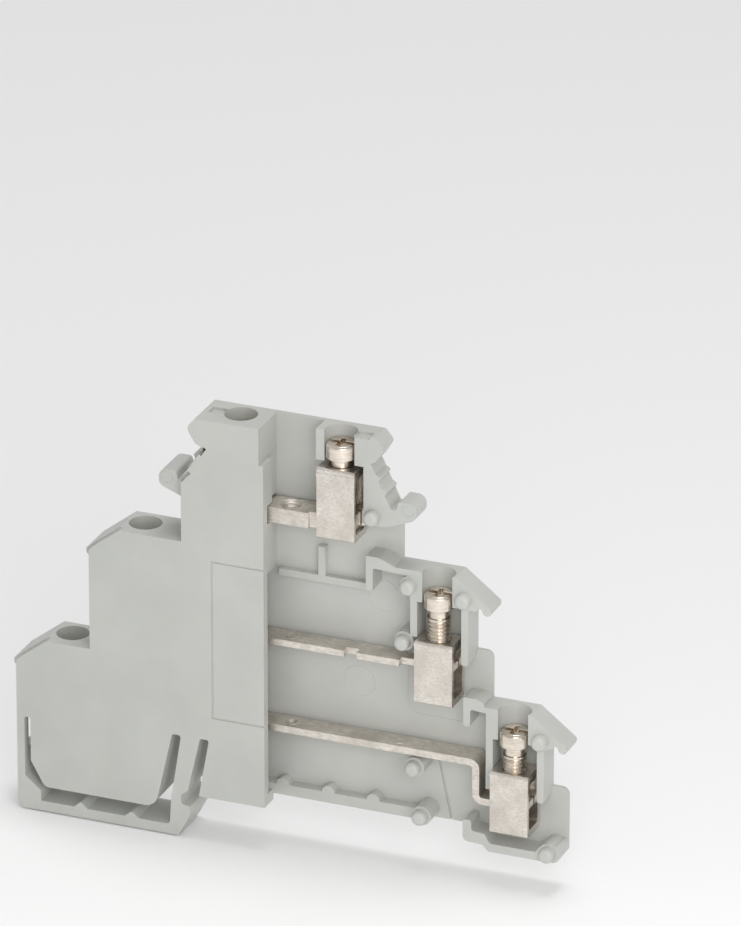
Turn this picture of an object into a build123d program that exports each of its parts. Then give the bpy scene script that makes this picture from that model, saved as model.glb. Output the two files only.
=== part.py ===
from build123d import *
import os

# Three-level screw terminal block for a 35 mm top-hat rail, cut open at the right.
# X runs along the block, Y from its front face to its rear face, Z up.
# X = 0 is the middle of the rail and Z = 0 the top of the rail's flanges.
# Outlines are lists of corners (x, z, radius), and a radius of 0 leaves a corner sharp.

# Block and its tiers
width = 6.2             # front face to rear face
front_wall = 1.2
rear_wall = 0.5
front_rib_h = 1.6       # inner walls of the front shell
rib = 0.9               # thickness of the inner walls
centre_x = -4.25        # the tiers are symmetrical about this line
top_z = 50.8            # top of the highest tier
tier_drop = 16.5        # from one tier to the next
hole_offsets = {"top": 6.5, "mid": 19.15, "low": 29.0}
levels = ["top", "mid", "low"]
sides = {"left": -1, "right": 1}
parting_y = front_wall + front_rib_h
inner_w = width - front_wall - rear_wall
inner_back_y = width - rear_wall
rear_rib_h = inner_back_y - parting_y
screw_y = front_wall + inner_w / 2

# Screws
head_d = 3.7
head_h = 1.95
head_chamfer = 0.25
hole_gap = 0.2          # around a screw's head
hole_d = head_d + 2 * hole_gap
screw_l = 9.2
tip_chamfer = 0.4
thread_d = 3.0
thread_fit = 0.05       # radial clearance of the thread in its cage
neck_d = 2.5
neck_h = 1.2
slot_w = 0.7
slot_h = 0.9
cross_w = 0.6
cross_l = 2.4

# Cages
cage_w = 4.9
cage_gap = 0.3          # beside a cage, to the front wall and the rear wall
cage_depth = inner_w - 2 * cage_gap
cage_wall = 0.5
cage_floor = 0.8
cage_roof = 1.2
cage_round = 0.5
cage_travel = 3.6
roof_gap = 1.5          # from a bar to the cage's roof when the clamp is wide open
cage_open = {"top": 0.0, "mid": 3.1, "low": 2.2}

# Bars
bar_under = 12.75       # underside of the bars below their tiers
strip_t = 0.9
plate_t = 2.0
bar_t = {"top": plate_t, "mid": strip_t, "low": strip_t}
bar_gap = 0.1           # between a bar and what moves against it
bar_w = 3.0
plate_w = 3.5
bar_back_gap = 0.5
bar_back_y = inner_back_y - bar_back_gap
bar_y = bar_back_y - bar_w / 2
tongue_gap = 0.2
tongue_w = cage_depth - 2 * cage_wall - 2 * tongue_gap
neck_reach = 4.7        # the middle bar narrows this far before its screw
low_rise = 5.0          # the lowest bar's long run above its ends
low_leg = 4.1           # and its step before the screw
bend_r = 0.4            # inside of its bends
bridge_hole_d = 2.5     # core of the threaded hole for a bridge screw
bridge_chamfer = 0.15
dimple_r = 0.6
dimple_h = 0.2
dimple_offset = 14.05

# Walls beside the screws
channel_h = 4.0         # the screw's round channel below each tier
bore_wall = 1.0
chamber_gap = 0.15      # between a cage and the wall on its inner side
outer_gap = 0.65        # and on its outer side
outer_reach = cage_w / 2 + outer_gap + rib
entry_drop = 11.5       # top of a wire entry below its tier
chamber_drop = {"mid": 8.7, "low": 10.8}
ramp_rib_h = {"mid": 3.6, "low": 2.9}
ramp_rise = 0.9
ramp_crest = 1.7        # length of its level top
ramp_foot = {"mid": 3.4, "low": 0.6}    # from its foot to the screw's channel

# Slanted guides of the two lower tiers
lip_start = 2.35        # distances from the screw's axis
lip_reach = 6.95
lip_drop = 3.55
lip_bead = 0.65
tab_reach = 6.1
tab_drop = 10.35
tab_round = 0.9

# Nose, marker groove and hook at the sides of the highest tier
nose_reach = 5.75
nose_drop = 1.3
groove_in = 4.0
groove_top = 3.4
groove_out = 6.6
groove_bottom = 9.0
hook_start = 1.0        # the hook's inner corner beyond the groove
hook_l = 2.3
hook_reach = groove_out + hook_start + hook_l
hook_top = 7.85
hook_bead = 1.05
hook_under = 11.3
recess_l = 1.9          # shallow recess beside each screw hole
recess_w = 1.65
recess_h = 0.35

# Pocket for a bridge, and the cut
pocket_half = 3.3
plate_gap = 0.4
ledge_drop = 4.8        # the pocket's ledge below the top
cut_x = -6.5            # the front shell is cut off here
cut_jog = 0.6           # and steps to the left above the ledge
cut_rib = 1.2
frame_line = 0.25       # fine engraved frame on the front wall
frame_deep = 0.12
frame_x = -13.4
frame_bottom = 11.3
frame_top = 32.4
seam_w = 0.3            # shallow slanting groove in the rear wall
seam_h = 0.2
seam_x = 14.0
seam_top = 9.6
seam_lean = 1.9
slit_w = 0.3            # two slits beside the marker groove
slit_h = 2.0

# Pegs
peg_r = 0.95
peg_h = 1.3
peg_dome = 0.55
boss_r = 1.25

# Rail seat and spring foot
seat_z = 0.5
seat_wall = 1.4
foot_x = -39.4
foot_z = -5.3
foot_round = 1.0
strap = 1.0
foot_floor = 1.3
body_z = -2.0
strap_top = 7.1         # upper ends of the gaps beside the foot
slot_top = 8.3
rail_side = -15.2

os.makedirs("parts", exist_ok=True)


def tier_z(level):
    return top_z - tier_drop * levels.index(level)


def hole_x(level, side):
    return centre_x + side * hole_offsets[level]


def bar_top(level):
    return tier_z(level) - bar_under + bar_t[level]


def facing(y):
    """The XZ plane at depth y; a positive extrude comes towards the front face."""
    return Plane.XZ.offset(-y)


def outline(corners, mode=Mode.ADD):
    """A face from corners (x, z, radius)."""
    with BuildLine(mode=Mode.PRIVATE) as edge:
        FilletPolyline(
            *[(x, z) for x, z, _ in corners],
            radius=[radius for _, _, radius in corners],
            close=True,
        )
    make_face(edge.edges(), mode=mode)


def block(x0, z0, x1, z1, mode=Mode.ADD):
    """A rectangle from one corner to the opposite one."""
    with Locations(((x0 + x1) / 2, (z0 + z1) / 2)):
        Rectangle(abs(x1 - x0), abs(z1 - z0), mode=mode)


def placed(corners, side):
    """Corners measured from the centre line, set on one side of it."""
    return [(centre_x + side * u, z, radius) for u, z, radius in corners]


def marker_profile():
    """Nose, marker groove and hook, from the top down."""
    u = hole_offsets["top"]
    return [
        (u + nose_reach - 1.15, top_z, 0.3),
        (u + nose_reach, top_z - nose_drop, 0.7),
        (u + nose_reach - 1.15, top_z - groove_top + 0.2, 0.2),
        (u + groove_in, top_z - groove_top, 0),
        (u + groove_out, top_z - groove_bottom, 0),
        (u + groove_out + 0.8, top_z - groove_bottom + 0.1, 0.2),
        (u + groove_out + hook_start, top_z - hook_top, 0.4),
        (u + hook_reach, top_z - hook_top, hook_bead),
        (u + hook_reach, top_z - hook_top - 2 * hook_bead, hook_bead),
    ]


def guide_profile(level):
    """Slanted guide below a lower tier, with its bead, from the top down."""
    u, z = hole_offsets[level], tier_z(level)
    return [
        (u + lip_start, z, 0.3),
        (u + lip_reach, z - lip_drop, 0.3),
        (u + lip_reach - 0.15, z - lip_drop - 1.1, lip_bead - 0.2),
        (u + lip_reach - 1.0, z - lip_drop - 0.7, 0.3),
        (u + lip_reach - 1.45, z - lip_drop + 0.35, 0.3),
        (u + lip_reach - 1.9, z - lip_drop - 0.5, 0.2),
    ]


def tab_profile(level, bottom_z):
    """Edge of the rear wall beside a wire entry."""
    u, z = hole_offsets[level], tier_z(level)
    return [
        (u + outer_reach, z - lip_drop - 0.5, 0),
        (u + outer_reach, z - tab_drop, 0),
        (u + tab_reach, z - tab_drop, tab_round),
        (u + tab_reach, bottom_z, 0),
    ]


def tiers_outline(side):
    """Stepped edge on one side, from the top down to the lowest wire entry."""
    below = tier_z("mid")
    corners = [
        *marker_profile(),
        (hole_offsets["top"] + tab_reach + 1.0, top_z - hook_under + 0.3, 0),
        (hole_offsets["top"] + tab_reach + 1.0, below, 0),
        *guide_profile("mid"),
        *tab_profile("mid", tier_z("low")),
        *guide_profile("low"),
        *tab_profile("low", seat_z),
    ]
    return placed(corners, side)


def seat_outline():
    """Underside from the lowest clamp on the right to the rail seat."""
    x = hole_x("low", 1)
    return [
        (x + tab_reach, -1.4, 1.0),
        (x - 3.15, -1.4, 0.3),
        (x - 3.85, -0.6, 0.3),
        (x - 6.45, -0.5, 0.7),
        (x - 6.45, seat_z, 0),
    ]


def foot_outline():
    """Spring foot, from the rail round to the lowest tier on the left."""
    return [
        (rail_side, seat_z, 0),
        (rail_side, foot_z, foot_round),
        (foot_x, foot_z, foot_round),
    ]


def front_tiers():
    """Left-hand edge of the front wall, which covers the guides' ends, from the lowest tier up."""
    x = {level: hole_x(level, -1) for level in levels}
    z = {level: tier_z(level) for level in levels}
    return [
        (foot_x, z["low"] - 3.2, 0.6),
        (x["low"] - 5.1, z["low"] - 2.4, 0.6),
        (x["low"] - 2.0, z["low"], 0.5),
        (x["mid"] - tab_reach, z["low"], 0),
        (x["mid"] - tab_reach, z["mid"] - 3.2, 0.6),
        (x["mid"] - 5.2, z["mid"] - 2.4, 0.6),
        (x["mid"] - 2.0, z["mid"], 0.5),
        (x["top"] - groove_out + 0.1, z["mid"], 0),
        (x["top"] - groove_out + 0.1, z["top"] - groove_bottom + 0.2, 0),
        (x["top"] - groove_out - 0.1, z["top"] - groove_bottom + 0.5, 0),
        (x["top"] - groove_in + 0.5, z["top"] - groove_top - 0.3, 0),
        (x["top"] - nose_reach + 1.15, z["top"] - groove_top + 0.2, 0.3),
        (x["top"] - nose_reach, z["top"] - nose_drop, 0.9),
        (x["top"] - nose_reach + 1.15, z["top"], 0.4),
    ]


def foot_cuts():
    """What is cut out around the spring foot."""
    inner_x = foot_x + strap
    floor_z = foot_z + foot_floor
    outline([
        (inner_x, strap_top, 0.3),
        (inner_x + 0.8, strap_top, 0.3),
        (inner_x + 0.8, body_z + 3.3, 0.5),
        (inner_x + 2.6, body_z, 1.0),
        (rail_side - 5.8, body_z, 1.8),
        (rail_side - 3.5, slot_top, 0.35),
        (rail_side - 2.3, slot_top, 0.35),
        (rail_side - 3.7, body_z + 1.3, 1.0),
        (rail_side - 3.9, floor_z, 0.5),
        (rail_side - 8.1, floor_z, 0.2),
        (rail_side - 9.0, floor_z + 0.8, 0.3),
        (rail_side - 9.9, floor_z, 0.2),
        (inner_x + 8.3, floor_z, 0.2),
        (inner_x + 7.4, floor_z + 0.8, 0.3),
        (inner_x + 6.5, floor_z, 0.2),
        (inner_x + 2.1, floor_z, 0),
        (inner_x + 2.1, body_z - 0.6, 0.4),
        (inner_x, body_z + 1.1, 0.4),
    ], Mode.SUBTRACT)
    outline([
        (rail_side + 0.2, slot_top, 0.3),
        (rail_side + 1.4, slot_top, 0.3),
        (rail_side, seat_z, 0.3),
        (rail_side + 0.1, foot_z - 1, 0),
        (rail_side - 3.1, foot_z - 1, 0),
        (rail_side - 2.8, foot_z, 0.5),
        (rail_side - 1.2, foot_z + 3.0, 0.3),
        (rail_side - 1.2, foot_z + 4.1, 0.2),
        (rail_side - 2.4, foot_z + 4.4, 0.4),
        (rail_side - 2.4, foot_z + 5.6, 0.4),
        (rail_side - 1.5, foot_z + 6.2, 0.4),
    ], Mode.SUBTRACT)


def shell_outline(left_tiers, mode=Mode.ADD):
    """Outline of a shell; its left-hand tiers are given from the foot up."""
    with BuildSketch(mode=Mode.PRIVATE) as shell:
        outline(tiers_outline(1) + seat_outline() + foot_outline() + left_tiers)
        foot_cuts()
    add(shell.sketch, mode=mode)


def rear_tiers():
    """The rear wall's left-hand tiers mirror the right-hand ones, down to the foot."""
    corners = list(reversed(tiers_outline(-1)))
    return corners[1:]


def foot_walls():
    """Full depth of the spring foot, and the edge of the body above it."""
    inner_x = foot_x + strap
    step_z = body_z + 4.6
    outline([
        (foot_x, step_z, 0),
        (foot_x, foot_z, 0),
        (rail_side, foot_z, 0),
        (rail_side, seat_z, 0),
        (rail_side + 1.0, seat_z, 0),
        (rail_side + 2.4, slot_top + 0.3, 0),
        (rail_side + 2.4, slot_top + 1.0, 0),
        (rail_side - 4.7, slot_top + 1.0, 0),
        (rail_side - 6.2, body_z + 2.9, 0),
        (rail_side - 7.2, body_z + rib, 0),
        (inner_x + 3.2, body_z + rib, 0),
        (inner_x + 1.7, step_z, 0),
    ])


def top_walls(side):
    """Walls of the highest clamp: its channel, the nose and the hook."""
    u = hole_offsets["top"]
    outline(placed([
        (u - hole_d / 2 - bore_wall, top_z, 0),
        *marker_profile(),
        (u + hook_reach - 3.7, top_z - hook_under - 0.1, 1.5),
        (u + outer_reach - rib, top_z - entry_drop, 0),
        (u + outer_reach - rib, top_z - channel_h, 0),
        (u - hole_d / 2 - bore_wall, top_z - channel_h, 0),
    ], side))


def lower_walls(level, side):
    """Walls of a lower clamp: its channel, the guide, the wall on each side of the cage and the ramp."""
    u, z = hole_offsets[level], tier_z(level)
    inner = u - cage_w / 2 - chamber_gap - rib
    outline(placed([
        (inner, z, 0),
        *guide_profile(level),
        (u + outer_reach, z - channel_h - 0.1, 0),
        (u + outer_reach, z - entry_drop, 0.4),
        (u + outer_reach - rib, z - entry_drop, 0.4),
        (u + outer_reach - rib, z - channel_h, 0),
        (inner + rib, z - channel_h, 0),
        (inner + rib, z - chamber_drop[level], 0),
        (inner, z - chamber_drop[level], 0),
    ], side))
    above = "top" if level == "mid" else "mid"
    ramp = hole_offsets[above] + outer_reach - 0.6
    outline(placed([
        (ramp, z + ramp_rise, 0.2),
        (ramp + ramp_crest, z + ramp_rise, 2.0),
        (u - hole_d / 2 - ramp_foot[level], z, 2.0),
        (u - hole_d / 2, z, 0),
        (u - hole_d / 2, z - rib, 0),
        (ramp + rib, z - rib + 0.3, 0.3),
        (ramp + rib, z - ramp_rib_h[level], 0.3),
        (ramp, z - ramp_rib_h[level], 0.3),
    ], side))


def inner_walls(side):
    top_walls(side)
    lower_walls("mid", side)
    lower_walls("low", side)


def floor_walls():
    """Floor under the lowest clamp on the right."""
    x = hole_x("low", 1)
    outline([
        (x - 6.45, 2.4, 0.4),
        (x - 6.45, -0.5, 0.7),
        (x - 3.85, -0.6, 0.3),
        (x - 3.15, -1.4, 0.3),
        (x + tab_reach, -1.4, 1.0),
        (x + tab_reach, 0.9, 0.5),
        (x + 3.5, 0.5, 0.5),
        (x + 3.0, -0.3, 0.3),
        (x - 3.0, -0.3, 0.5),
        (x - 3.6, 0.9, 0.5),
        (x - 5.35, 1.0, 0.4),
        (x - 5.35, 2.4, 0.4),
    ])


def channel_bores(sides_cut):
    """Round channels of the screws, and the shallow recesses beside the highest ones."""
    for side in sides_cut:
        for level in levels:
            with Locations((hole_x(level, side), screw_y, tier_z(level))):
                Cylinder(hole_d / 2, 2 * channel_h, mode=Mode.SUBTRACT)
        with Locations((hole_x("top", side) + side * (hole_d + recess_l) / 2, screw_y, top_z)):
            Box(recess_l, recess_w, 2 * recess_h, mode=Mode.SUBTRACT)


# Places of the pegs: five beside the clamps, given from the centre line, and three at the rail
clamp_pegs = [
    (hole_offsets["top"] + 4.35, tier_z("top") - 10.3),
    (hole_offsets["mid"] - 3.6, tier_z("mid") - 2.1),
    (hole_offsets["mid"] - 4.3, tier_z("mid") - 9.5),
    (hole_offsets["mid"] + 3.5, tier_z("mid") - 2.7),
    (hole_offsets["low"] + 3.6, tier_z("low") - 3.2),
]
rail_pegs = [(12.9, 1.8), (12.0, 8.2), (29.4, -0.2)]
marker_slits = [(3.45, 3.5, 4.15, 4.5), (5.5, 7.0, 6.75, 8.4)]
seat_bumps = [(-5.9, seat_z + seat_wall), (0.1, seat_z + seat_wall), (6.0, seat_z + seat_wall)]

# Rear shell: rear wall, inner walls up to the parting plane and domed pegs
with BuildPart() as rear_shell:
    with BuildSketch(facing(width)):
        shell_outline(rear_tiers())
    extrude(amount=rear_wall)
    with BuildSketch(facing(inner_back_y)):
        outline([
            (seam_x, seam_top, 0),
            (seam_x - seam_w, seam_top, 0),
            (seam_x + seam_lean - seam_w, seat_z, 0),
            (seam_x + seam_lean, seat_z, 0),
        ])
    extrude(amount=-seam_h, mode=Mode.SUBTRACT)
    with BuildSketch(facing(inner_back_y)):
        inner_walls(1)
        inner_walls(-1)
        floor_walls()
        foot_walls()
        shell_outline(rear_tiers(), Mode.INTERSECT)
        with Locations(*[(centre_x + u, z) for u, z in clamp_pegs]):
            Circle(boss_r)
        with Locations(*rail_pegs):
            Circle(boss_r)
    extrude(amount=rear_rib_h)
    with BuildSketch(facing(inner_back_y)):
        block(rail_side, seat_z, rail_pegs[0][0], seat_z + seat_wall)
        with Locations(*seat_bumps):
            Circle(boss_r - 0.4)
    extrude(amount=seat_wall)
    with BuildSketch(facing(inner_back_y)):
        x = hole_x("top", 1) - cage_w / 2 - 0.25
        block(cut_x, tier_z("mid") - 4.6, x, tier_z("mid") - 3.7)
        block(x, tier_z("mid") - 4.6, 5.65, tier_z("mid") - 3.7)
        block(x - rib, tier_z("mid") - 4.6, x, tier_z("mid") + 0.1)
    extrude(amount=rib)
    channel_bores([1, -1])
    with BuildSketch(facing(parting_y)):
        with Locations(*[(centre_x + u, z) for u, z in clamp_pegs], *rail_pegs):
            Circle(peg_r)
    extrude(amount=peg_h)
    fillet(rear_shell.edges().filter_by(GeomType.CIRCLE).group_by(Axis.Y)[0], peg_dome)
rear_shell.part.label = "rear_shell"
export_step(rear_shell.part, "parts/rear_shell.step")

# Front shell: front wall and inner walls, cut away at the right
with BuildPart() as front_shell:
    with BuildSketch(facing(front_wall)):
        shell_outline(front_tiers())
    extrude(amount=front_wall)
    with BuildSketch(facing(parting_y)):
        inner_walls(-1)
        block(rail_side, seat_z, 0, seat_z + seat_wall)
        foot_walls()
        shell_outline(rear_tiers(), Mode.INTERSECT)
        block(cut_x - cut_rib, tier_z("mid") - 2.4, cut_x, top_z - ledge_drop)
        block(
            cut_x - cut_rib,
            bar_top("top") - plate_t - tongue_gap,
            cut_x,
            bar_top("top") + tongue_gap,
            Mode.SUBTRACT,
        )
        with Locations(*[(centre_x - u, z) for u, z in clamp_pegs]):
            Circle(boss_r)
    extrude(amount=front_rib_h)
    channel_bores([-1])
    with BuildSketch(facing(0)):
        block(frame_x, frame_bottom, 0, frame_top)
        block(
            frame_x + frame_line,
            frame_bottom + frame_line,
            0,
            frame_top - frame_line,
            Mode.SUBTRACT,
        )
    extrude(amount=-frame_deep, mode=Mode.SUBTRACT)
    with BuildSketch(facing(0)):
        for u0, drop0, u1, drop1 in marker_slits:
            outline(placed([
                (hole_offsets["top"] + u0, top_z - drop0, 0),
                (hole_offsets["top"] + u1, top_z - drop1, 0),
                (hole_offsets["top"] + u1 - slit_w, top_z - drop1 - slit_w, 0),
                (hole_offsets["top"] + u0 - slit_w, top_z - drop0 - slit_w, 0),
            ], -1))
    extrude(amount=-slit_h, mode=Mode.SUBTRACT)
    with BuildSketch(facing(width)):
        outline([
            (cut_x, foot_z, 0),
            (cut_x, top_z - ledge_drop, 0),
            (cut_x - cut_jog, top_z - ledge_drop, 0),
            (cut_x - cut_jog, top_z + width, 0),
            (top_z, top_z + width, 0),
            (top_z, foot_z, 0),
        ])
    extrude(amount=width, mode=Mode.SUBTRACT)
front_shell.part.label = "front_shell"
export_step(front_shell.part, "parts/front_shell.step")

# Current bars
for level in levels:
    name = level + "_bar"
    z = bar_top(level)
    reach = hole_offsets[level] + cage_w / 2 - cage_wall
    with BuildPart() as bar:
        if level == "top":
            with BuildSketch(Plane.XY.offset(z - plate_t)):
                with Locations((centre_x, screw_y)):
                    Rectangle(2 * (pocket_half - plate_gap), plate_w)
                    Rectangle(2 * reach, tongue_w)
                    Circle(bridge_hole_d / 2, mode=Mode.SUBTRACT)
            extrude(amount=plate_t)
            chamfer(bar.edges().filter_by(GeomType.CIRCLE).group_by(Axis.Z)[-1], bridge_chamfer)
        elif level == "mid":
            with BuildSketch(Plane.XY.offset(z - strip_t)):
                with Locations((centre_x, bar_y)):
                    Rectangle(2 * (hole_offsets[level] - neck_reach), bar_w)
                with Locations((centre_x, screw_y)):
                    Rectangle(2 * reach, tongue_w)
            extrude(amount=strip_t)
        else:
            leg = hole_offsets[level] - low_leg
            turn = leg + bend_r + strip_t
            up = z + low_rise
            with BuildSketch(facing(bar_back_y)):
                for side in (-1, 1):
                    outline(placed([
                        (0, up - strip_t, 0),
                        (leg - strip_t, up - strip_t, bend_r),
                        (leg - strip_t, z - strip_t, bend_r + strip_t),
                        (turn, z - strip_t, 0),
                        (turn, z, 0),
                        (leg, z, bend_r),
                        (leg, up, bend_r + strip_t),
                        (0, up, 0),
                    ], side))
            extrude(amount=bar_w)
            with BuildSketch(Plane.XY.offset(z - strip_t)):
                for side in (-1, 1):
                    with Locations((centre_x + side * (reach + leg) / 2, screw_y)):
                        Rectangle(reach - leg, tongue_w)
            extrude(amount=strip_t)
        if level != "top":
            run_z = z + low_rise if level == "low" else z
            spots = (-dimple_offset, 0, dimple_offset) if level == "low" else (0,)
            with Locations(*[(centre_x + u, bar_y, run_z + dimple_r - dimple_h) for u in spots]):
                Sphere(dimple_r, mode=Mode.SUBTRACT)
    bar.part.label = name
    export_step(bar.part, "parts/" + name + ".step")

# Clamp cages and screws
for side_name, side in sides.items():
    for level in levels:
        x = hole_x(level, side)
        clear_h = bar_t[level] + bar_gap + cage_travel + roof_gap
        cage_h = cage_floor + clear_h + cage_roof
        cage_z = bar_top(level) - bar_t[level] - bar_gap - cage_open[level] - cage_floor
        name = side_name + "_" + level + "_cage"
        with BuildPart() as cage:
            with BuildSketch(Plane.YZ.offset(x - cage_w / 2)):
                with Locations((screw_y, cage_z + cage_h / 2)):
                    RectangleRounded(cage_depth, cage_h, cage_round / 2)
                with Locations((screw_y, cage_z + cage_floor + clear_h / 2)):
                    RectangleRounded(
                        cage_depth - 2 * cage_wall,
                        clear_h,
                        cage_round,
                        mode=Mode.SUBTRACT,
                    )
            extrude(amount=cage_w)
            with Locations((x, screw_y, cage_z + cage_h)):
                Cylinder(thread_d / 2, 2 * (cage_roof + clear_h), mode=Mode.SUBTRACT)
        cage.part.label = name
        export_step(cage.part, "parts/" + name + ".step")

        name = side_name + "_" + level + "_screw"
        tip_z = bar_top(level) + bar_gap
        head_top = tip_z + screw_l
        head_z = head_top - head_h
        shank_r = thread_d / 2 - thread_fit
        with BuildPart() as screw:
            with BuildSketch(Plane(origin=(x, screw_y, 0), z_dir=(0, -1, 0), x_dir=(1, 0, 0))):
                Polygon(
                    (0, tip_z),
                    (shank_r - tip_chamfer, tip_z),
                    (shank_r, tip_z + tip_chamfer),
                    (shank_r, head_z - neck_h),
                    (neck_d / 2, head_z - neck_h),
                    (neck_d / 2, head_z),
                    (head_d / 2, head_z),
                    (head_d / 2, head_top - head_chamfer),
                    (head_d / 2 - head_chamfer, head_top),
                    (0, head_top),
                    align=None,
                )
            revolve(axis=Axis((x, screw_y, 0), (0, 0, 1)))
            with Locations((x, screw_y, head_top)):
                Box(head_d, slot_w, 2 * slot_h, mode=Mode.SUBTRACT)
                Box(cross_w, cross_l, 2 * slot_h, mode=Mode.SUBTRACT)
        screw.part.label = name
        export_step(screw.part, "parts/" + name + ".step")
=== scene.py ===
import math

import bmesh
import bpy
import numpy as np
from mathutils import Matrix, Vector


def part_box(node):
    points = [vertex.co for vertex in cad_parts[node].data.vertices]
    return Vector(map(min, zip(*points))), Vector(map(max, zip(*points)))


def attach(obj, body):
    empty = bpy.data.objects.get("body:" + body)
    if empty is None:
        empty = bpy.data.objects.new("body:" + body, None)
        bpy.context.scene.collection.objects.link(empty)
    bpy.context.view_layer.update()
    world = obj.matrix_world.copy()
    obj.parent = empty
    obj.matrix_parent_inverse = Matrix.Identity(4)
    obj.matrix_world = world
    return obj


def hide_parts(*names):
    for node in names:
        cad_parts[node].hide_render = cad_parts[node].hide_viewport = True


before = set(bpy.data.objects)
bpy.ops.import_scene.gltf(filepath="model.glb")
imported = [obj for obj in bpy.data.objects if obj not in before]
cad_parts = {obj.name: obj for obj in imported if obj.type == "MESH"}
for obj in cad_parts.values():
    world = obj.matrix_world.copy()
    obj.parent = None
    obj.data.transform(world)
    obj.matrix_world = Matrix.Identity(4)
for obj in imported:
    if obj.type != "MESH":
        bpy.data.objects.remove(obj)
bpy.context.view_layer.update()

MM = 0.001

# Sizes of the solids, in millimetres like all that follow. The GROOVE and HOOK pairs are in X and Z, from the
# axis of the highest tier's screw hole and from its top
CENTRE_X = -4.25
PARTING_Y = 2.8
FRONT_WALL = 1.2
REAR_WALL = 0.5
TIER_DROP = 16.5
TOP_HOLE = 6.5
GROOVE_START = (4.0, -3.4)
GROOVE_END = (6.6, -9.0)
HOOK_BEAD = (8.85, -8.9)
CUT_X = -6.5
CUT_JOG = 0.6
LEDGE_DROP = 4.8
POCKET_WALL_X = -7.7
SHANK_RADIUS = 1.45
TIP_CHAMFER = 0.4
HEAD_HEIGHT = 1.95
NECK_HEIGHT = 1.2
CORE_RADIUS = 1.25

# Marker groove: where its ridges start, as shares of its floor, and their profile along and above that floor
RIDGE_SHARES = (0.25, 0.56)
RIDGE_PROFILE = [(-0.1, -0.3), (0.0, 0.0), (0.5, 0.34), (0.72, 0.34), (0.95, 0.0), (1.0, -0.3)]
RIDGE_INSET = 0.02

# Bridge pocket: its floor below the middle tier, the gap round the plate, and how far the wall above the ledge
# reaches further left and is overlapped by the wall below
POCKET_FLOOR_DROP = 3.7
PLATE_GAP = 0.25
UPPER_WALL_REACH = 0.3
WALL_LAP = 0.2

# How deep a form is sunk in the face that carries it, and the gap that keeps two faces from coinciding
SINK = 0.05
SKIN = 0.01

# Marks of the mould, placed in X and Z
EJECTOR_MARKS = ((3.65, 16.95), (6.9, 28.8))
EJECTOR_RADIUS = 2.0
HOOK_RIM_RADIUS = 0.74
CHAMBER_CORNER = (11.7, 15.6)
CHAMBER_RADIUS = 1.7
CHAMBER_TOP = 21.2
CHAMBER_END = 17.6
CHAMBER_LINE = [(-0.14, -0.05), (-0.07, 0.05), (0.07, 0.05), (0.14, -0.05)]

# Bars: start, end and depth of the middle bar's notch and neck on each side of its middle, and the places of
# the pressed dots along the bars
NOTCH = (7.3, 8.9, 1.1)
NECK = (14.45, 16.6, 0.9)
DOT_OFFSETS = {"mid_bar": (0.0,), "low_bar": (-14.05, 0.0, 14.05)}
DOT_RADIUS = 0.72

# Threads
THREAD_PITCH = 0.5
THREAD_DEPTH = 0.28
THREAD_RUN_OUT = 0.5
ROUND_STEPS = 56
ROWS_PER_TURN = 12
BRIDGE_THREAD_DEPTH = 0.17
BRIDGE_THREAD_FADE = 0.15
BRIDGE_THREAD_ENDS = (0.05, 0.2)
HEAD_LAP = 0.02

# Cages: the folded band's upper and lower edge below the roof, and how far it is proud, sunk and chamfered
ROOF_BANDS = {"top": (0.6, 1.15), "mid": (0.25, 0.65), "low": (0.25, 0.65)}
BAND_PROUD = 0.05
BAND_SUNK = 0.1
BAND_CHAMFER = 0.04

# Rounding of the edges
SHELL_ROUNDING = 0.13
WALL_ROUNDING = 0.05
BAR_ROUNDING = 0.08
CAGE_ROUNDING = 0.12
SCREW_ROUNDING = 0.1

# Widths of the materials' patterns: the moulded grain and the plating's marks are finer on the real block,
# about 0.05, and are drawn as coarse as they need to be to show
FLOW_WIDTH = 8.0
GRAIN_WIDTH = 0.24
CLOUD_WIDTH = 2.4

# The range in which nearly all values of a noise lie
NOISE_RANGE = {"From Min": 0.35, "From Max": 0.65}


def linear(hex_colour):
    """sRGB hex, such as #c8c8c4, to linear red, green, blue and alpha."""
    channels = [int(hex_colour[i:i + 2], 16) / 255 for i in (1, 3, 5)]
    curved = [c / 12.92 if c <= 0.04045 else ((c + 0.055) / 1.055) ** 2.4 for c in channels]
    return (*curved, 1.0)


def add_node(tree, kind, settings=(), links=()):
    """Adds one node: settings pair sockets or properties with values, links pair sockets with source outputs."""
    node = tree.nodes.new(kind)
    for name, value in dict(settings).items():
        if name in node.inputs:
            node.inputs[name].default_value = value
        else:
            setattr(node, name, value)
    for name, source in dict(links).items():
        tree.links.new(source, node.inputs[name])
    return node


def new_material(name, settings):
    """A material with its shader's settings, ready for patterns in the piece's own space."""
    material = bpy.data.materials.new(name)
    material.use_nodes = True
    tree = material.node_tree
    shader = tree.nodes["Principled BSDF"]
    for socket, value in settings.items():
        shader.inputs[socket].default_value = value
    place = add_node(tree, "ShaderNodeTexCoord").outputs["Object"]
    return material, tree, shader, place


def cover(tree, shader, colour, gloss, bump):
    """Lets three patterns give a surface its colour, its gloss and its fine relief."""
    tree.links.new(colour.outputs["Result"], shader.inputs["Base Color"])
    tree.links.new(gloss.outputs["Result"], shader.inputs["Roughness"])
    tree.links.new(bump.outputs["Normal"], shader.inputs["Normal"])


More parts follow.
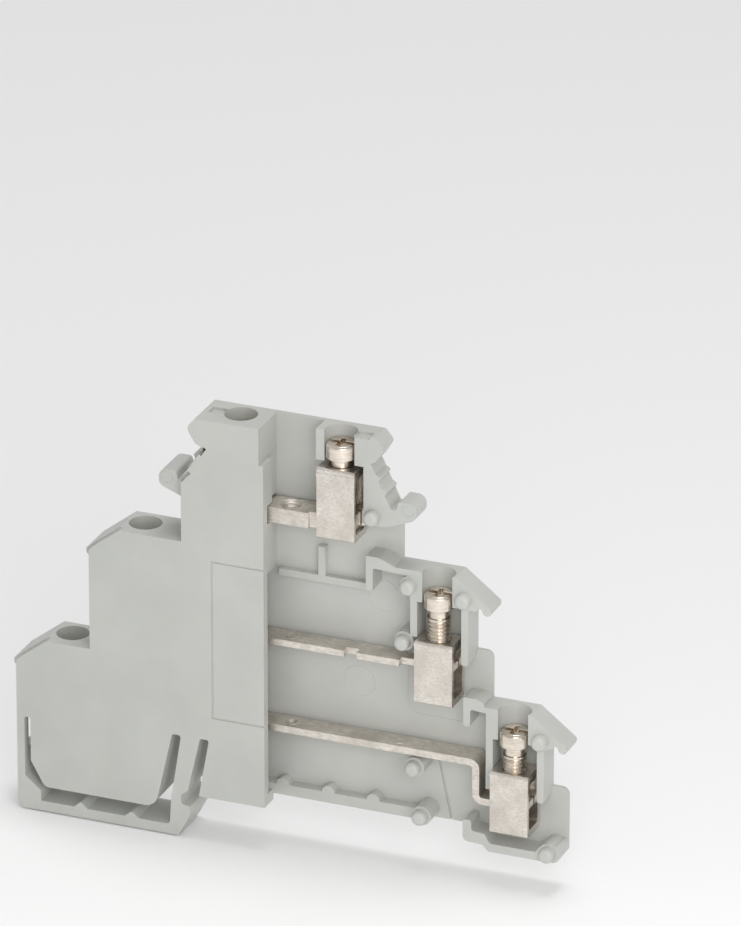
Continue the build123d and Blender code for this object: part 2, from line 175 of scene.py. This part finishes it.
def moulded_polyamide():
    """Injection-moulded polyamide 6.6: light grey and satin. The melt's flow leaves wide, faint clouds in tone
    and gloss, and the spark-eroded mould a fine grain that breaks up the highlights."""
    material, tree, shader, place = new_material("moulded_polyamide", {
        "IOR": 1.53,
        "Specular IOR Level": 0.45,
        "Subsurface Weight": 0.08,
        "Subsurface Scale": 0.0005,
    })
    flow_scale = {"Scale": 1 / (FLOW_WIDTH * MM), "Detail": 3.0}
    flow = add_node(tree, "ShaderNodeTexNoise", flow_scale, {"Vector": place})
    tone = add_node(tree, "ShaderNodeMapRange", NOISE_RANGE, {"Value": flow.outputs["Fac"]})
    gloss_range = {**NOISE_RANGE, "To Min": 0.4, "To Max": 0.52}
    gloss = add_node(tree, "ShaderNodeMapRange", gloss_range, {"Value": flow.outputs["Fac"]})
    shades = {"data_type": "RGBA", "A": linear("#babbb6"), "B": linear("#c0c1bc")}
    colour = add_node(tree, "ShaderNodeMix", shades, {"Factor": tone.outputs["Result"]})
    grain_scale = {"Scale": 1 / (GRAIN_WIDTH * MM), "Detail": 2.0}
    grain = add_node(tree, "ShaderNodeTexNoise", grain_scale, {"Vector": place})
    relief = {"Strength": 0.15, "Distance": 0.00002}
    bump = add_node(tree, "ShaderNodeBump", relief, {"Height": grain.outputs["Fac"]})
    cover(tree, shader, colour, gloss, bump)
    return material


def plated_metal(name, dark, light, gloss_low, gloss_high, mark_mm):
    """Barrel-plated metal: fine marks and softer clouds show in its tone, and more faintly in its gloss. The
    marks' widths are given along X, Y and Z."""
    material, tree, shader, place = new_material(name, {"Metallic": 1.0})
    mark_scale = tuple(1 / (width * MM) for width in mark_mm)
    drawn = add_node(tree, "ShaderNodeMapping", {"Scale": mark_scale}, {"Vector": place})
    drawn_place = {"Vector": drawn.outputs["Vector"]}
    marks = add_node(tree, "ShaderNodeTexNoise", {"Scale": 1.0, "Detail": 5.0}, drawn_place)
    cloud_scale = {"Scale": 1 / (CLOUD_WIDTH * MM), "Detail": 3.0}
    clouds = add_node(tree, "ShaderNodeTexNoise", cloud_scale, {"Vector": place})
    both = {0: marks.outputs["Fac"], 1: clouds.outputs["Fac"]}
    product = add_node(tree, "ShaderNodeMath", {"operation": "MULTIPLY"}, both)
    tone_range = {"From Min": 0.14, "From Max": 0.4}
    tone = add_node(tree, "ShaderNodeMapRange", tone_range, {"Value": product.outputs["Value"]})
    gloss_range = {**NOISE_RANGE, "To Min": gloss_low, "To Max": gloss_high}
    gloss = add_node(tree, "ShaderNodeMapRange", gloss_range, {"Value": clouds.outputs["Fac"]})
    shades = {"data_type": "RGBA", "A": linear(dark), "B": linear(light)}
    colour = add_node(tree, "ShaderNodeMix", shades, {"Factor": tone.outputs["Result"]})
    relief = {"Strength": 0.14, "Distance": 0.00002}
    bump = add_node(tree, "ShaderNodeBump", relief, {"Height": marks.outputs["Fac"]})
    cover(tree, shader, colour, gloss, bump)
    return material


plastic = moulded_polyamide()
# Nickel on folded steel sheet: a warm, even satin that dims what it reflects
nickel = plated_metal("nickel_plated_steel", "#cec7be", "#ebe6de", 0.26, 0.38, (0.4, 0.4, 0.2))
# Nickel on turned steel: brighter, with faint level rings that the cutting tool left
turned = plated_metal("nickel_plated_screw_steel", "#d2c7b9", "#f2eadf", 0.2, 0.32, (1.6, 1.6, 0.24))
# Tin on rolled copper strip: pale and soft, with marks along the strip
tin = plated_metal("tin_plated_copper", "#cfc8bf", "#efe9e1", 0.4, 0.52, (0.7, 0.25, 0.25))


def mesh_object(name, mesh, smooth_degrees=35):
    """A new object from a mesh or a bmesh, smooth except where it turns by more than the given angle."""
    if isinstance(mesh, bmesh.types.BMesh):
        data = bpy.data.meshes.new(name)
        mesh.to_mesh(data)
        mesh.free()
    else:
        data = mesh
    data.materials.clear()
    for polygon in data.polygons:
        polygon.use_smooth = True
    data.set_sharp_from_angle(angle=math.radians(smooth_degrees))
    obj = bpy.data.objects.new(name, data)
    bpy.context.scene.collection.objects.link(obj)
    return obj


def soften(obj, round_mm):
    """Rounds the edges that turn by more than 35 degrees."""
    bevel = obj.modifiers.new("rounding", "BEVEL")
    bevel.width = round_mm * MM
    bevel.segments = 2
    bevel.limit_method = "ANGLE"
    bevel.angle_limit = math.radians(35)
    bevel.harden_normals = True


def finish_piece(obj, material, body, nodes=()):
    """Gives a new piece its material and body, and hides the nodes that it stands for."""
    obj.data.materials.append(material)
    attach(obj, body)
    if nodes:
        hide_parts(*nodes)


def joined_solid(node):
    """The solid's mesh with its doubles merged and the triangles of each flat face joined."""
    mesh = bmesh.new()
    mesh.from_mesh(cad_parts[node].data)
    bmesh.ops.remove_doubles(mesh, verts=mesh.verts, dist=1e-7)
    bmesh.ops.dissolve_limit(
        mesh, angle_limit=math.radians(0.5), verts=mesh.verts, edges=mesh.edges, delimit=set()
    )
    return mesh


def box_mm(node):
    """The low and the high corner of a node's box in millimetres."""
    low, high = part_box(node)
    return low / MM, high / MM


def helical_grid(name, centre, z_low, z_high, radius_at, capped):
    """A surface closed round a vertical axis. Point (i, j) is at angle t = 2 pi i / ROUND_STEPS and height z_j,
    with radius radius_at(phase, z), where phase = z / pitch - t / (2 pi), which winds a right-hand thread. Flat
    faces close its two ends where it is capped."""
    rows = int(math.ceil((z_high - z_low) / THREAD_PITCH * ROWS_PER_TURN)) + 1
    turn, height = np.meshgrid(np.arange(ROUND_STEPS) / ROUND_STEPS, np.linspace(z_low, z_high, rows))
    phase = height / THREAD_PITCH - turn
    radius = radius_at(phase, height)
    angle = 2 * np.pi * turn
    points = np.stack([
        centre[0] + radius * np.cos(angle),
        centre[1] + radius * np.sin(angle),
        height,
    ], axis=-1).reshape(-1, 3) * MM
    i = np.arange(ROUND_STEPS)
    j = np.arange(rows - 1)[:, None]
    a = j * ROUND_STEPS + i
    b = j * ROUND_STEPS + (i + 1) % ROUND_STEPS
    faces = np.stack([a, b, b + ROUND_STEPS, a + ROUND_STEPS], axis=-1).reshape(-1, 4).tolist()
    if capped:
        top_row = (rows - 1) * ROUND_STEPS
        faces += [list(range(ROUND_STEPS))[::-1], list(range(top_row, top_row + ROUND_STEPS))]
    mesh = bpy.data.meshes.new(name)
    mesh.from_pydata(points.tolist(), [], faces)
    return mesh


def ridge(phase):
    """Height of a V-shaped thread: the distance of the phase's share of a turn from one half, doubled, times
    1.25, less 0.1, held between 0 in the groove and 1 on the flattened crest."""
    wave = np.abs((phase % 1.0) * 2 - 1)
    return np.clip(wave * 1.25 - 0.1, 0, 1)


def carried(name, path, side, up, section, closed=False):
    """A closed section carried along a path: point (i, j) is path i + side i * x of section j + up i * y of
    section j, in millimetres. The two ends are closed by flat faces, unless the path closes on itself."""
    path, side, up, section = (np.asarray(a, float) for a in (path, side, up, section))
    points = path[:, None] + side[:, None] * section[None, :, :1] + up[:, None] * section[None, :, 1:]
    stations, around = points.shape[:2]
    i = np.arange(stations if closed else stations - 1)[:, None]
    j = np.arange(around)
    a = i * around + j
    b = i * around + (j + 1) % around
    after = (i + 1) % stations * around
    faces = np.stack([a, b, after + (j + 1) % around, after + j], axis=-1).reshape(-1, 4).tolist()
    if not closed:
        faces += [list(range(around))[::-1], list(range((stations - 1) * around, stations * around))]
    mesh = bpy.data.meshes.new(name)
    mesh.from_pydata((points.reshape(-1, 3) * MM).tolist(), [], faces)
    solid = bmesh.new()
    solid.from_mesh(mesh)
    bmesh.ops.recalc_face_normals(solid, faces=solid.faces)
    bpy.data.meshes.remove(mesh)
    return mesh_object(name, solid)


def prism(name, outline, low, high):
    """An outline in X and Z carried straight back from y = low to y = high."""
    return carried(name, [(0, low, 0), (0, high, 0)], [(1, 0, 0)] * 2, [(0, 0, 1)] * 2, outline)


def slab(name, outline, low, high):
    """An outline in X and Y carried straight up from z = low to z = high."""
    return carried(name, [(0, 0, low), (0, 0, high)], [(1, 0, 0)] * 2, [(0, 1, 0)] * 2, outline)


def ring(name, centre, axis, profile, around=64):
    """A closed profile of radii and heights carried once round an axis, which is along Y or Z: station i has
    its side at angle 2 pi i / around."""
    turn = np.linspace(0, 2 * np.pi, around, endpoint=False)[:, None]
    first, second = ((1, 0, 0), (0, 0, 1)) if axis[1] else ((1, 0, 0), (0, 1, 0))
    side = np.cos(turn) * first + np.sin(turn) * second
    return carried(name, [centre] * around, side, [axis] * around, profile, True)


def raised_ring(radius, width, height):
    """Profile of a low ring with sloping sides, whose foot is sunk by its height in the face that carries it."""
    half = width / 2
    return [
        (radius - half, -height), (radius - half / 2, height),
        (radius + half / 2, height), (radius + half, -height),
    ]


# Housing
shell_low, shell_high = box_mm("rear_shell")
inner_back = shell_high.y - REAR_WALL


def groove_ridges(side_name, side, front_y):
    """Two low ridges along the floor of a marker groove: each is the ridge's profile, laid along the line from
    the groove's start to its end and carried straight back from the front."""
    hole = (CENTRE_X + side * TOP_HOLE, shell_high.z)
    first, last = Vector(GROOVE_START), Vector(GROOVE_END)
    along = (last - first).normalized()
    proud = Vector((-along.y, along.x))
    for count, share in enumerate(RIDGE_SHARES):
        root = first.lerp(last, share)
        corners = [root + along * s + proud * h for s, h in RIDGE_PROFILE]
        outline = [(hole[0] + side * c.x, hole[1] + c.y) for c in corners]
        back_y = shell_high.y - RIDGE_INSET
        ridge_obj = prism(f"{side_name}_marker_ridge_{count}", outline, front_y, back_y)
        soften(ridge_obj, WALL_ROUNDING)
        finish_piece(ridge_obj, plastic, "housing")


def pocket_walls():
    """The bridge pocket's wall on the left, behind the cut: above the ledge, and above and below the plate. Each
    is a rectangle in X and Z carried straight back to the rear wall."""
    plate_low, plate_high = box_mm("top_bar")
    face_x = CUT_X - CUT_JOG
    ledge_z = shell_high.z - LEDGE_DROP
    floor_z = shell_high.z - TIER_DROP - POCKET_FLOOR_DROP
    upper_x = POCKET_WALL_X - UPPER_WALL_REACH
    behind_front = FRONT_WALL - SINK
    behind_parting = PARTING_Y - SINK
    for count, (low_x, front_y, low_z, high_z) in enumerate((
        (upper_x, behind_front, ledge_z, shell_high.z - SKIN),
        (POCKET_WALL_X, behind_parting, plate_high.z + PLATE_GAP, ledge_z + WALL_LAP),
        (POCKET_WALL_X, behind_parting, floor_z, plate_low.z - PLATE_GAP),
    )):
        outline = [(low_x, low_z), (face_x, low_z), (face_x, high_z), (low_x, high_z)]
        wall = prism(f"pocket_wall_{count}", outline, front_y, inner_back + SINK)
        soften(wall, WALL_ROUNDING)
        finish_piece(wall, plastic, "housing")


def mould_marks():
    """Fine raised lines on the inner face of the rear wall, and the bead's rim on each hook. The chamber's edge
    is a low ridge carried down, round a quarter circle and along."""
    forward = (0, -1, 0)
    for count, (x, z) in enumerate(EJECTOR_MARKS):
        profile = raised_ring(EJECTOR_RADIUS, 0.16, 0.03)
        mark = ring(f"ejector_mark_{count}", (x, inner_back, z), forward, profile)
        finish_piece(mark, plastic, "housing")
    for side_name, side, face_y in (("left", -1, FRONT_WALL), ("right", 1, PARTING_Y)):
        centre = (CENTRE_X + side * (TOP_HOLE + HOOK_BEAD[0]), face_y, shell_high.z + HOOK_BEAD[1])
        rim = ring(side_name + "_hook_rim", centre, forward, raised_ring(HOOK_RIM_RADIUS, 0.22, 0.06))
        finish_piece(rim, plastic, "housing")
    turn = np.linspace(np.pi, 1.5 * np.pi, 9)
    corner_x, corner_z = CHAMBER_CORNER
    bend_x = corner_x + CHAMBER_RADIUS * np.cos(turn)
    bend_z = corner_z + CHAMBER_RADIUS * np.sin(turn)
    x = np.concatenate([[corner_x - CHAMBER_RADIUS], bend_x, [CHAMBER_END]])
    z = np.concatenate([[CHAMBER_TOP], bend_z, [corner_z - CHAMBER_RADIUS]])
    side = np.stack([-np.gradient(z), 0 * x, np.gradient(x)], axis=-1)
    side /= np.linalg.norm(side, axis=1, keepdims=True)
    path = np.stack([x, 0 * x + inner_back, z], axis=-1)
    line = carried("clamp_chamber_edge", path, side, [forward] * len(x), CHAMBER_LINE)
    finish_piece(line, plastic, "housing")


for node in ("rear_shell", "front_shell"):
    shell = mesh_object(node + "_moulding", joined_solid(node), 30)
    soften(shell, SHELL_ROUNDING)
    finish_piece(shell, plastic, "housing", [node])
groove_ridges("right", 1, PARTING_Y + RIDGE_INSET)
groove_ridges("left", -1, FRONT_WALL - 2 * SINK)
pocket_walls()
mould_marks()


# Bars
def middle_strip():
    """The middle bar with the two notches of its front edge and its narrow neck beside each clamp: an outline
    in X and Y, the same on both sides of the middle, carried straight up."""
    low, high = box_mm("mid_bar")
    reach = (high.x - low.x) / 2
    middle = (low.x + high.x) / 2
    cage_low, cage_high = box_mm("right_mid_cage")
    tongue_y = cage_low.y + cage_high.y - low.y
    notch_start, notch_end, notch_deep = NOTCH
    neck_start, neck_end, neck_deep = NECK
    half = [
        (notch_start, low.y), (notch_start, low.y + notch_deep), (notch_end, low.y + notch_deep),
        (notch_end, low.y), (neck_start, low.y), (neck_start, low.y + neck_deep),
        (neck_end, low.y + neck_deep), (neck_end, low.y), (reach, low.y), (reach, tongue_y),
        (neck_start, tongue_y), (neck_start, high.y),
    ]
    outline = [(middle + u, y) for u, y in half] + [(middle - u, y) for u, y in reversed(half)]
    strip = slab("mid_bar_strip", outline, low.z, high.z)
    soften(strip, BAR_ROUNDING)
    finish_piece(strip, tin, "housing", ["mid_bar"])


def bridge_thread():
    """Thread inside the hole of the highest bar: the core's radius less the ridge's height, which fades out at
    both ends."""
    low, high = box_mm("top_bar")
    centre = ((low.x + high.x) / 2, (low.y + high.y) / 2)
    z_low, z_high = low.z + BRIDGE_THREAD_ENDS[0], high.z - BRIDGE_THREAD_ENDS[1]

    def radius_at(phase, height):
        fade = np.clip(np.minimum(height - z_low, z_high - height) / BRIDGE_THREAD_FADE, 0, 1)
        return CORE_RADIUS + SKIN - BRIDGE_THREAD_DEPTH * ridge(phase) * fade

    mesh = helical_grid("bridge_thread", centre, z_low, z_high, radius_at, capped=False)
    mesh.flip_normals()
    finish_piece(mesh_object("bridge_thread", mesh), tin, "housing")


def embossed_rim(name, x, y, z):
    """Raised rim round one of the bars' pressed dots."""
    rim = ring(name, (x, y, z), (0, 0, 1), raised_ring(DOT_RADIUS, 0.5, 0.06), 40)
    finish_piece(rim, tin, "housing")


for node in ("top_bar", "low_bar"):
    strip = mesh_object(node + "_strip", joined_solid(node), 30)
    soften(strip, BAR_ROUNDING)
    finish_piece(strip, tin, "housing", [node])
middle_strip()
bridge_thread()
for node, offsets in DOT_OFFSETS.items():
    low, high = box_mm(node)
    for count, offset in enumerate(offsets):
        embossed_rim(f"{node}_dot_{count}", CENTRE_X + offset, (low.y + high.y) / 2, high.z)


# Clamps
def cage(node):
    """The folded sheet, from the solid."""
    sheet = mesh_object(node + "_sheet", joined_solid(node), 30)
    soften(sheet, CAGE_ROUNDING)
    finish_piece(sheet, nickel, node, [node])


def roof_band(node, upper, lower):
    """The end of the sheet where it is folded round the roof of the cage: a band a little proud of its sides,
    which is a section carried round a rectangle."""
    low, high = box_mm(node)
    path = [
        (low.x, low.y, high.z), (high.x, low.y, high.z), (high.x, high.y, high.z), (low.x, high.y, high.z),
    ]
    side = [(-1, -1, 0), (1, -1, 0), (1, 1, 0), (-1, 1, 0)]
    section = [
        (-BAND_SUNK, -lower), (BAND_PROUD, BAND_CHAMFER - lower),
        (BAND_PROUD, -BAND_CHAMFER - upper), (-BAND_SUNK, -upper),
    ]
    band = carried(node + "_roof_band", path, side, [(0, 0, 1)] * 4, section, True)
    finish_piece(band, nickel, node)


def screw(node):
    """Head and neck come from the solid. The shank gets a cut thread in place of the plain cylinder: its radius
    is the shank's less the thread's depth between the ridges, which runs out below the neck, and no more than
    the cone of the tip."""
    low, high = box_mm(node)
    centre = ((low.x + high.x) / 2, (low.y + high.y) / 2)
    neck_z = high.z - HEAD_HEIGHT - NECK_HEIGHT
    head = joined_solid(node)
    bmesh.ops.bisect_plane(
        head,
        geom=head.verts[:] + head.edges[:] + head.faces[:],
        plane_co=(0, 0, (neck_z + HEAD_LAP) * MM),
        plane_no=(0, 0, -1),
        clear_outer=True,
    )
    head_obj = mesh_object(node + "_head", head, 30)
    soften(head_obj, SCREW_ROUNDING)
    finish_piece(head_obj, turned, node, [node])

    def radius_at(phase, height):
        depth = THREAD_DEPTH * (1 - ridge(phase))
        run_out = np.clip((height - (neck_z - THREAD_RUN_OUT)) / THREAD_RUN_OUT, 0, 1)
        tip = np.clip((height - low.z) / TIP_CHAMFER, 0, 1)
        cone = SHANK_RADIUS - TIP_CHAMFER * (1 - tip)
        return np.minimum(SHANK_RADIUS - depth * (1 - run_out), cone)

    mesh = helical_grid(node + "_thread", centre, low.z, neck_z, radius_at, capped=True)
    finish_piece(mesh_object(node + "_thread", mesh), turned, node, [node])


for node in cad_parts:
    if node.endswith("_cage"):
        cage(node)
        level = node.split("_")[1]
        roof_band(node, *ROOF_BANDS[level])
    if node.endswith("_screw"):
        screw(node)


# Floor, light and camera
def studio():
    """Matt white paper under the block, a white surround and two soft lamps."""
    floor_z = (shell_low.z - 0.2) * MM
    reach = 1.2
    mesh = bpy.data.meshes.new("floor")
    corners = [(x * reach, y * reach, floor_z) for x, y in ((-1, -1), (1, -1), (1, 1), (-1, 1))]
    mesh.from_pydata(corners, [], [(0, 1, 2, 3)])
    floor = bpy.data.objects.new("floor", mesh)
    bpy.context.scene.collection.objects.link(floor)
    paper = bpy.data.materials.new("white_paper")
    paper.use_nodes = True
    paper.node_tree.nodes["Principled BSDF"].inputs["Base Color"].default_value = linear("#fafafa")
    paper.node_tree.nodes["Principled BSDF"].inputs["Roughness"].default_value = 0.9
    mesh.materials.append(paper)

    world = bpy.data.worlds.new("studio")
    world.use_nodes = True
    world.node_tree.nodes["Background"].inputs["Color"].default_value = (1, 1, 1, 1)
    world.node_tree.nodes["Background"].inputs["Strength"].default_value = 0.57
    bpy.context.scene.world = world

    target = Vector((0.0, 0.0, 0.02))
    for name, place, watts, size_m in (
        ("softbox_front", (0.13, -0.2, 0.12), 0.3, 0.16),
        ("softbox_top", (0.05, 0.05, 0.75), 1.5, 0.3),
    ):
        lamp = bpy.data.lights.new(name, "AREA")
        lamp.energy = watts
        lamp.size = size_m
        obj = bpy.data.objects.new(name, lamp)
        obj.location = place
        obj.rotation_euler = (target - Vector(place)).to_track_quat("-Z", "Y").to_euler()
        bpy.context.scene.collection.objects.link(obj)


def camera():
    """Stands where the photograph was taken from: its axis, distance and focal length were fitted to the real
    sizes of what it shows."""
    image_width = 741
    focal_px = 9533.0
    place = Vector((398.8, -959.2, 512.4)) * MM
    forward = Vector((-0.34485, 0.84514, -0.40843)).normalized()
    lens = bpy.data.cameras.new("camera")
    lens.sensor_width = 36.0
    lens.sensor_fit = "HORIZONTAL"
    lens.lens = focal_px / image_width * lens.sensor_width
    lens.clip_end = 10.0
    obj = bpy.data.objects.new("camera", lens)
    obj.location = place
    obj.rotation_euler = forward.to_track_quat("-Z", "Y").to_euler()
    bpy.context.scene.collection.objects.link(obj)
    bpy.context.scene.camera = obj


studio()
camera()
bpy.context.scene.view_settings.view_transform = "Standard"
